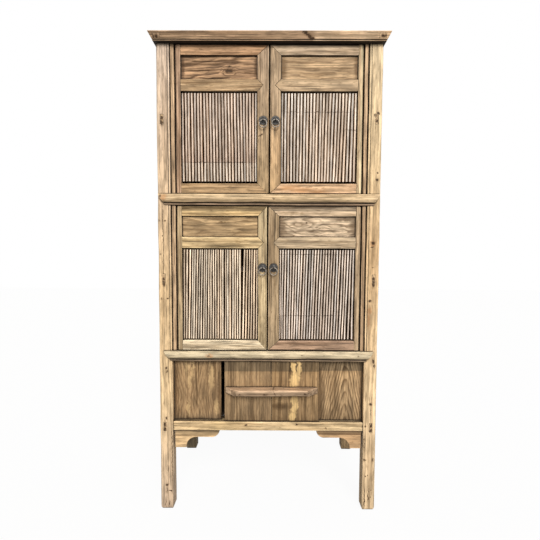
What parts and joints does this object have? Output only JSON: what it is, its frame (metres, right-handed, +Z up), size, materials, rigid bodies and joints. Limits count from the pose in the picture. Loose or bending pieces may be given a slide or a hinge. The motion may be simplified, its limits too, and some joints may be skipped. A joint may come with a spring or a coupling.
{
  "type": "kitchen cabinet",
  "caption": "Tall kitchen cabinet of weathered pine with slatted double doors above and below, a low store behind a sliding board panel, a moulded top and shaped apron brackets.",
  "frame": {"origin": "on the floor under the middle of the whole cabinet", "axes": "+X to the right seen from the front, +Y from the front to the back, +Z up"},
  "size_m": [0.888, 0.54, 1.83],
  "materials": {
    "frame_pine": "weathered pale honey pine, dry, rounded worn edges",
    "inner_boards": "plain sawn softwood boards",
    "store_boards": "dark weathered pine boards",
    "door_frame": "weathered grey-tan pine",
    "door_panels": "brown weathered pine",
    "slats": "grey-pink weathered wooden slats",
    "iron": "dark forged iron"
  },
  "bodies": {
    "carcass": {"post_front_left": "frame_pine", "post_front_right": "frame_pine", "post_rear_left": "frame_pine", "post_rear_right": "frame_pine", "top_left_rail": "frame_pine", "top_right_rail": "frame_pine", "top_front_rail": "frame_pine", "top_rear_rail": "frame_pine", "mid_front_rail": "frame_pine", "lower_front_rail": "frame_pine", "bottom_front_rail": "frame_pine", "apron_bracket_left": "frame_pine", "apron_bracket_right": "frame_pine", "left_side_rails": "frame_pine", "right_side_rails": "frame_pine", "rear_rails": "frame_pine", "jamb_strips": "frame_pine", "top_boards": "inner_boards", "left_side_panels": "inner_boards", "right_side_panels": "inner_boards", "back_boards": "inner_boards", "base_floor_boards": "inner_boards", "lower_floor_boards": "inner_boards", "lower_shelf_boards": "inner_boards", "upper_floor_boards": "inner_boards", "upper_shelf_boards": "inner_boards", "fixed_board_left": "store_boards", "fixed_board_right": "store_boards"},
    "sliding_panel": {"panel_board_left": "store_boards", "panel_board_right": "store_boards", "panel_handle_bar": "store_boards"},
    "upper_left_door": {"upper_left_hinge_stile": "door_frame", "upper_left_meeting_stile": "door_frame", "upper_left_door_rails": "door_frame", "upper_left_door_panel": "door_panels", "upper_left_lattice": "slats", "upper_left_pull_plate": "iron"},
    "upper_left_ring": {"upper_left_pull_ring": "iron"},
    "upper_right_door": {"upper_right_hinge_stile": "door_frame", "upper_right_meeting_stile": "door_frame", "upper_right_door_rails": "door_frame", "upper_right_door_panel": "door_panels", "upper_right_lattice": "slats", "upper_right_pull_plate": "iron"},
    "upper_right_ring": {"upper_right_pull_ring": "iron"},
    "lower_left_door": {"lower_left_hinge_stile": "door_frame", "lower_left_meeting_stile": "door_frame", "lower_left_door_rails": "door_frame", "lower_left_door_panel": "door_panels", "lower_left_lattice": "slats", "lower_left_pull_plate": "iron"},
    "lower_left_ring": {"lower_left_pull_ring": "iron"},
    "lower_right_door": {"lower_right_hinge_stile": "door_frame", "lower_right_meeting_stile": "door_frame", "lower_right_door_rails": "door_frame", "lower_right_door_panel": "door_panels", "lower_right_lattice": "slats", "lower_right_pull_plate": "iron"},
    "lower_right_ring": {"lower_right_pull_ring": "iron"}
  },
  "joints": [
    {"name": "store_panel_slide", "type": "slide", "parent": "carcass", "child": "sliding_panel", "axis": [1, 0, 0], "range_m": [-0.2, 0.173]},
    {"name": "upper_left_door_hinge", "type": "hinge", "parent": "carcass", "child": "upper_left_door", "pos_m": [-0.342, -0.222, 1.249], "axis": [0, 0, -1], "range_deg": [0, 100]},
    {"name": "upper_left_ring_swing", "type": "hinge", "parent": "upper_left_door", "child": "upper_left_ring", "pos_m": [-0.02265, -0.2453, 1.521], "axis": [-1, 0, 0], "range_deg": [0, 120]},
    {"name": "upper_right_door_hinge", "type": "hinge", "parent": "carcass", "child": "upper_right_door", "pos_m": [0.342, -0.222, 1.249], "axis": [0, 0, 1], "range_deg": [0, 100]},
    {"name": "upper_right_ring_swing", "type": "hinge", "parent": "upper_right_door", "child": "upper_right_ring", "pos_m": [0.02415, -0.2453, 1.521], "axis": [-1, 0, 0], "range_deg": [0, 120]},
    {"name": "lower_left_door_hinge", "type": "hinge", "parent": "carcass", "child": "lower_left_door", "pos_m": [-0.342, -0.222, 0.644], "axis": [0, 0, -1], "range_deg": [0, 100]},
    {"name": "lower_left_ring_swing", "type": "hinge", "parent": "lower_left_door", "child": "lower_left_ring", "pos_m": [-0.0234, -0.2453, 0.966], "axis": [-1, 0, 0], "range_deg": [0, 120]},
    {"name": "lower_right_door_hinge", "type": "hinge", "parent": "carcass", "child": "lower_right_door", "pos_m": [0.342, -0.222, 0.644], "axis": [0, 0, 1], "range_deg": [0, 100]},
    {"name": "lower_right_ring_swing", "type": "hinge", "parent": "lower_right_door", "child": "lower_right_ring", "pos_m": [0.0194, -0.2453, 0.966], "axis": [-1, 0, 0], "range_deg": [0, 120]}
  ]
}
